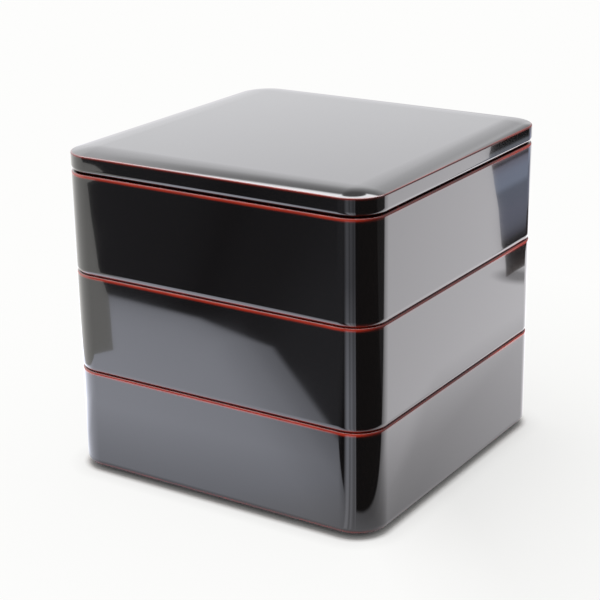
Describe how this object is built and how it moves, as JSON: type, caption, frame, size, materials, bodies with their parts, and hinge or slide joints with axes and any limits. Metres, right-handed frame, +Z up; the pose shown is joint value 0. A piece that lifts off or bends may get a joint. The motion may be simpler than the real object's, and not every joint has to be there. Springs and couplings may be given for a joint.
{
  "type": "stacking lacquer box",
  "caption": "Square stacking food box of round-cornered lacquered wooden tiers that nest on each other under a gently crowned lift-off lid.",
  "frame": {"origin": "on the table, under the middle of the box, at the foot's underside", "axes": "+X to the right, +Y to the back, +Z up; the front is the wide face that the picture shows on its left"},
  "size_m": [0.195, 0.195, 0.1852],
  "materials": {
    "dark_lacquer": "translucent dark lacquer over red, polished to a mirror gloss",
    "vermilion_lacquer": "vermilion lacquer, glossy",
    "bare_wood": "bare planed softwood"
  },
  "bodies": {
    "lower_tier": {"lower_front_wall": "dark_lacquer", "lower_right_wall": "dark_lacquer", "lower_back_wall": "dark_lacquer", "lower_left_wall": "dark_lacquer", "lower_front_right_corner_post": "dark_lacquer", "lower_back_right_corner_post": "dark_lacquer", "lower_back_left_corner_post": "dark_lacquer", "lower_front_left_corner_post": "dark_lacquer", "lower_floor_panel": "vermilion_lacquer", "lower_front_foot_rail": "dark_lacquer", "lower_right_foot_rail": "dark_lacquer", "lower_back_foot_rail": "dark_lacquer", "lower_left_foot_rail": "dark_lacquer", "lower_corner_tongues": "bare_wood"},
    "middle_tier": {"middle_front_wall": "dark_lacquer", "middle_right_wall": "dark_lacquer", "middle_back_wall": "dark_lacquer", "middle_left_wall": "dark_lacquer", "middle_front_right_corner_post": "dark_lacquer", "middle_back_right_corner_post": "dark_lacquer", "middle_back_left_corner_post": "dark_lacquer", "middle_front_left_corner_post": "dark_lacquer", "middle_floor_panel": "vermilion_lacquer", "middle_front_foot_rail": "dark_lacquer", "middle_right_foot_rail": "dark_lacquer", "middle_back_foot_rail": "dark_lacquer", "middle_left_foot_rail": "dark_lacquer", "middle_corner_tongues": "bare_wood"},
    "upper_tier": {"upper_front_wall": "dark_lacquer", "upper_right_wall": "dark_lacquer", "upper_back_wall": "dark_lacquer", "upper_left_wall": "dark_lacquer", "upper_front_right_corner_post": "dark_lacquer", "upper_back_right_corner_post": "dark_lacquer", "upper_back_left_corner_post": "dark_lacquer", "upper_front_left_corner_post": "dark_lacquer", "upper_floor_panel": "vermilion_lacquer", "upper_front_foot_rail": "dark_lacquer", "upper_right_foot_rail": "dark_lacquer", "upper_back_foot_rail": "dark_lacquer", "upper_left_foot_rail": "dark_lacquer", "upper_corner_tongues": "bare_wood"},
    "lid": {"lid_panel": "dark_lacquer", "lid_front_rail": "dark_lacquer", "lid_right_rail": "dark_lacquer", "lid_back_rail": "dark_lacquer", "lid_left_rail": "dark_lacquer", "lid_front_right_corner_post": "dark_lacquer", "lid_back_right_corner_post": "dark_lacquer", "lid_back_left_corner_post": "dark_lacquer", "lid_front_left_corner_post": "dark_lacquer", "lid_front_lip_strip": "vermilion_lacquer", "lid_right_lip_strip": "vermilion_lacquer", "lid_back_lip_strip": "vermilion_lacquer", "lid_left_lip_strip": "vermilion_lacquer", "lid_corner_tongues": "bare_wood"}
  },
  "joints": [
    {"name": "middle_tier_lift", "type": "slide", "parent": "lower_tier", "child": "middle_tier", "axis": [0, 0, 1], "range_m": [0, 0.12]},
    {"name": "upper_tier_lift", "type": "slide", "parent": "middle_tier", "child": "upper_tier", "axis": [0, 0, 1], "range_m": [0, 0.12]},
    {"name": "lid_lift", "type": "slide", "parent": "upper_tier", "child": "lid", "axis": [0, 0, 1], "range_m": [0, 0.12]}
  ]
}
